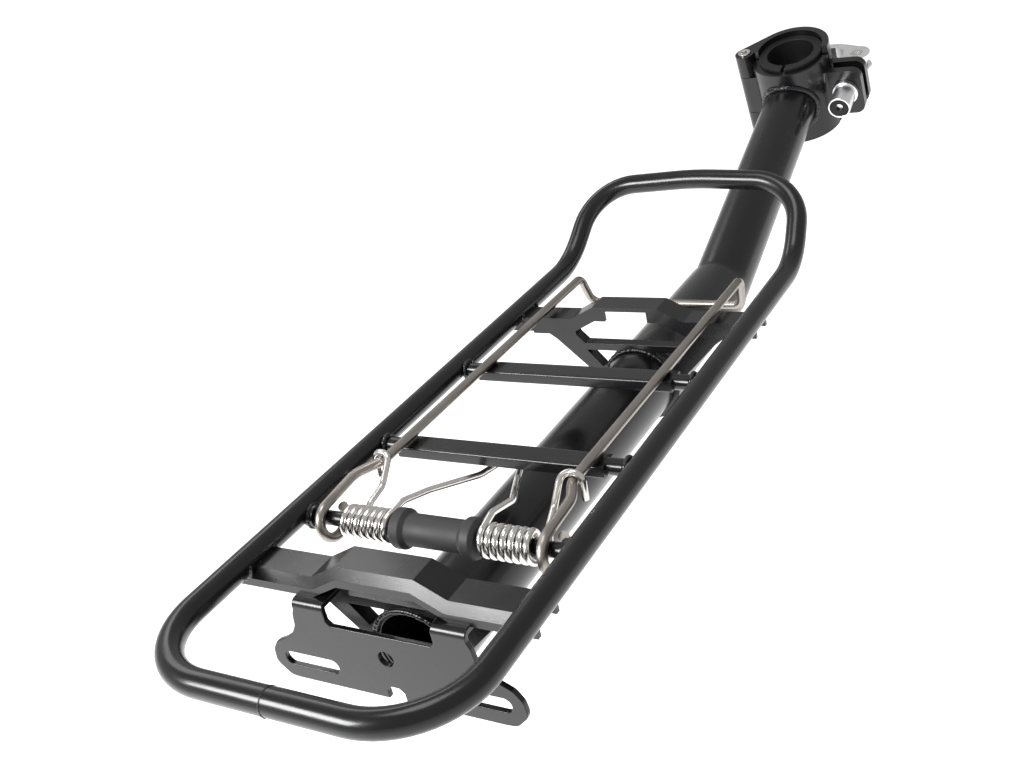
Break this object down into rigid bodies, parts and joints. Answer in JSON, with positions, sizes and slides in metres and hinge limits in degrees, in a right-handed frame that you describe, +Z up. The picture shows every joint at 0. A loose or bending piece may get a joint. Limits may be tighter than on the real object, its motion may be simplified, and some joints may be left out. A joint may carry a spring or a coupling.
{
  "type": "rear rack",
  "caption": "Seatpost-mounted bicycle rear rack: tubular beam, bent-rod platform with raised front hoop, sprung wire trap and quick-release clamp.",
  "frame": {"origin": "centre of the seatpost bore, half way along the clamp", "axes": "+X forwards to the seatpost end, +Y to the rider's left, +Z up with the platform level"},
  "size_m": [0.6525, 0.1462, 0.1309],
  "materials": {
    "black_paint": "semi-gloss",
    "black_plastic": "moulded",
    "steel": "satin",
    "nickel": "bright",
    "grip_rubber": "matte",
    "aluminium": "polished"
  },
  "bodies": {
    "frame": {"lower_beam": "black_paint", "upper_stem": "black_paint", "clamp_body": "black_paint", "clamp_liner": "black_plastic", "hinge_bolt": "nickel", "hinge_nut": "nickel", "hinge_washer": "nickel", "platform_loop": "black_paint", "front_crossbar": "black_paint", "rear_crossbar": "black_paint", "front_bracket": "black_paint", "rear_bracket": "black_paint", "front_truss": "black_paint", "rear_truss": "black_paint", "reflector_plate": "black_paint", "pivot_rod": "black_paint", "rod_bosses": "black_paint", "trap_spring": "nickel", "spring_sleeve": "grip_rubber"},
    "arm": {"clamp_arm": "black_paint", "qr_skewer": "nickel", "qr_cam_washer": "black_plastic", "qr_cam_pin": "nickel"},
    "lever": {"qr_lever": "aluminium"},
    "seat": {"qr_nut_seat": "aluminium"},
    "nut": {"qr_nut": "aluminium", "qr_nut_insert": "black_plastic"},
    "bow": {"trap_bow": "steel"}
  },
  "joints": [
    {"name": "clamp_hinge", "type": "hinge", "parent": "frame", "child": "arm", "pos_m": [-0.00239, 0.0315, -0.00073], "axis": [-0.2924, 0, 0.9563], "range_deg": [0, 6]},
    {"name": "nut_travel", "type": "slide", "parent": "arm", "child": "seat", "axis": [-0.9563, 0, -0.2924], "range_m": [0, 0.009]},
    {"name": "nut_spin", "type": "hinge", "parent": "seat", "child": "nut", "pos_m": [0, -0.037, 0], "axis": [0.9563, 0, 0.2924], "continuous": true},
    {"name": "lever_throw", "type": "hinge", "parent": "arm", "child": "lever", "pos_m": [0.02276, -0.037, 0.00696], "axis": [0.2924, 0, -0.9563], "range_deg": [0, 160]},
    {"name": "trap_hinge", "type": "hinge", "parent": "frame", "child": "bow", "pos_m": [-0.503, 0, -0.03503], "axis": [0, -1, 0], "range_deg": [0, 95], "stiffness_Nm_per_rad": 1.2, "springref_deg": -28.65, "deforming": ["trap_spring"]}
  ],
  "couplings": [
    {"joint": "nut_travel", "follows": "clamp_hinge", "m_per_rad": 0.08}
  ]
}
